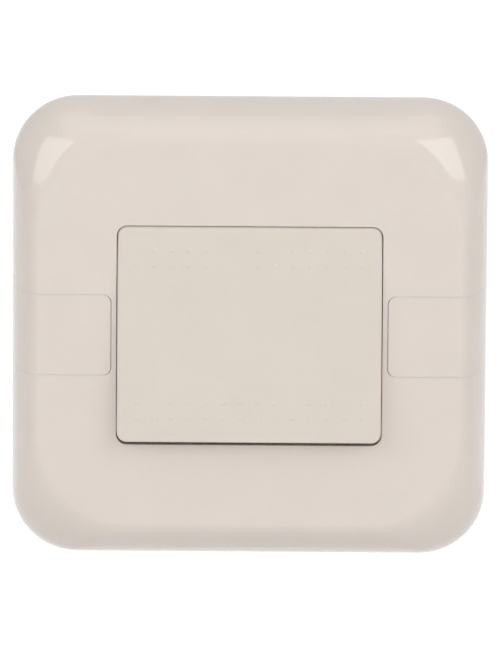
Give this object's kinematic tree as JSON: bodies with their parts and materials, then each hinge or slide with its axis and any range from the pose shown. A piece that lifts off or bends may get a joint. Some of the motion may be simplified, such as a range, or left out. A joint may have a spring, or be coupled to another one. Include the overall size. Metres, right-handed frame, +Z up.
{
  "type": "single rocker light switch",
  "caption": "Flush wall light switch with a pillow-shaped plate, side inserts, a dotted rocker, a sprung contact lever, pillar terminals, a steel strap and spreading claws.",
  "frame": {"origin": "middle of the switch on the wall plane, half-way between the two fixing slots at the strap's back face", "axes": "+Z up, +X to the right as seen from the front, +Y into the wall, so the rocker faces -Y"},
  "size_m": [0.083, 0.0387, 0.081],
  "materials": {
    "plate_plastic": "glossy cream moulding",
    "rocker_plastic": "cream moulding, a little more satin than the plate",
    "base_plastic": "off-white thermoset moulding",
    "inner_plastic": "plain moulding",
    "plated_steel": "bright zinc plate",
    "spring_steel": "drawn wire",
    "terminal_brass": "plain brass",
    "contact_copper": "rolled copper alloy strip",
    "contact_silver": "silver contact face"
  },
  "bodies": {
    "housing": {"cover_frame": "plate_plastic", "insert_left": "plate_plastic", "insert_right": "plate_plastic", "support_strap": "plated_steel", "front_bezel": "base_plastic", "mechanism_base": "base_plastic", "rivets": "plated_steel", "common_bracket": "terminal_brass", "load_bracket": "terminal_brass", "fixed_contact": "contact_silver", "common_pillar": "terminal_brass", "load_pillar": "terminal_brass", "common_terminal_screw": "plated_steel", "load_terminal_screw": "plated_steel"},
    "rocker": {"rocker_cap": "rocker_plastic", "rocker_carrier": "inner_plastic", "plunger": "inner_plastic", "contact_spring": "spring_steel"},
    "contact_arm": {"contact_lever": "contact_copper", "moving_contact": "contact_silver"},
    "left_claw": {"claw_left": "plated_steel"},
    "right_claw": {"claw_right": "plated_steel"},
    "left_claw_screw": {"claw_screw_left": "plated_steel"},
    "right_claw_screw": {"claw_screw_right": "plated_steel"}
  },
  "joints": [
    {"name": "rocker_tilt", "type": "hinge", "parent": "housing", "child": "rocker", "pos_m": [0, -0.007, 0], "axis": [1, 0, 0], "range_deg": [0, 10]},
    {"name": "contact_lever_rock", "type": "hinge", "parent": "housing", "child": "contact_arm", "pos_m": [0, 0.0085, 0], "axis": [1, 0, 0], "range_deg": [-20, 0]},
    {"name": "left_claw_spread", "type": "hinge", "parent": "housing", "child": "left_claw", "pos_m": [-0.022, 0.0032, 0], "axis": [0, 0, 1], "range_deg": [0, 26]},
    {"name": "right_claw_spread", "type": "hinge", "parent": "housing", "child": "right_claw", "pos_m": [0.022, 0.0032, 0], "axis": [0, 0, -1], "range_deg": [0, 26]},
    {"name": "left_claw_screw_turn", "type": "hinge", "parent": "housing", "child": "left_claw_screw", "pos_m": [-0.0262, 0, 0], "axis": [0, 1, 0], "range_deg": [0, 1360]},
    {"name": "right_claw_screw_turn", "type": "hinge", "parent": "housing", "child": "right_claw_screw", "pos_m": [0.0262, 0, 0], "axis": [0, 1, 0], "range_deg": [0, 1360]}
  ],
  "couplings": [
    {"joint": "contact_lever_rock", "follows": "rocker_tilt", "ratio": -2},
    {"joint": "left_claw_spread", "follows": "left_claw_screw_turn", "ratio": 0.0191},
    {"joint": "right_claw_spread", "follows": "right_claw_screw_turn", "ratio": 0.0191}
  ]
}
